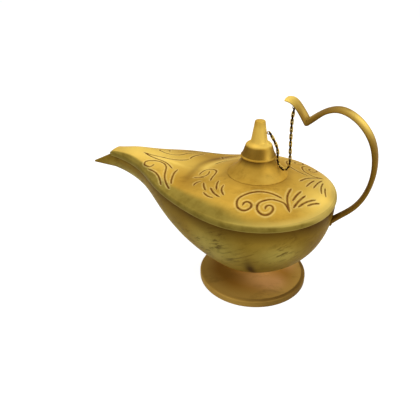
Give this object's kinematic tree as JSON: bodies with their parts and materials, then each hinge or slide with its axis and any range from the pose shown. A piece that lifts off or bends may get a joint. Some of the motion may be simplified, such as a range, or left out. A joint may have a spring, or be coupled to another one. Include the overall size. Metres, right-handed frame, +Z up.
{
  "type": "genie oil lamp",
  "caption": "Boat-shaped brass oil lamp with a pointed spout, domed cover, lift-off lid on a chain, looped handle and flared foot.",
  "frame": {"origin": "on the lamp's upright axis, at the bottom of the foot", "axes": "+X towards the handle, -X towards the spout, +Z up; the X-Z plane is the plane of symmetry"},
  "size_m": [0.2237, 0.1152, 0.1474],
  "materials": {
    "dark_brass": "dark patina",
    "aged_brass": "aged satin",
    "bright_brass": "polished",
    "plain_brass": "machined",
    "gasket_leather": "oiled",
    "wick_cotton": "woven"
  },
  "bodies": {
    "lamp": {"bowl": "dark_brass", "top_cover": "aged_brass", "neck_collar": "aged_brass", "chain": "bright_brass", "handle_eye": "bright_brass", "handle": "dark_brass", "handle_stud": "plain_brass", "handle_washer": "plain_brass", "handle_nut": "plain_brass", "foot": "aged_brass", "foot_screw": "plain_brass", "foot_gasket": "gasket_leather", "foot_washer": "plain_brass", "foot_nut": "plain_brass", "wick_plate": "plain_brass", "wick_tube": "plain_brass"},
    "lid": {"lid": "aged_brass", "lid_sleeve": "plain_brass", "finial": "aged_brass", "finial_stud": "plain_brass", "finial_nut": "plain_brass", "lid_eye": "bright_brass"},
    "wick": {"wick": "wick_cotton"}
  },
  "joints": [
    {"name": "lid_lift", "type": "slide", "parent": "lamp", "child": "lid", "axis": [0, 0, 1], "range_m": [0, 0.03], "deforming": ["chain"]},
    {"name": "wick_feed", "type": "slide", "parent": "lamp", "child": "wick", "axis": [-0.9205, 0, 0.3907], "range_m": [0, 0.008]}
  ]
}
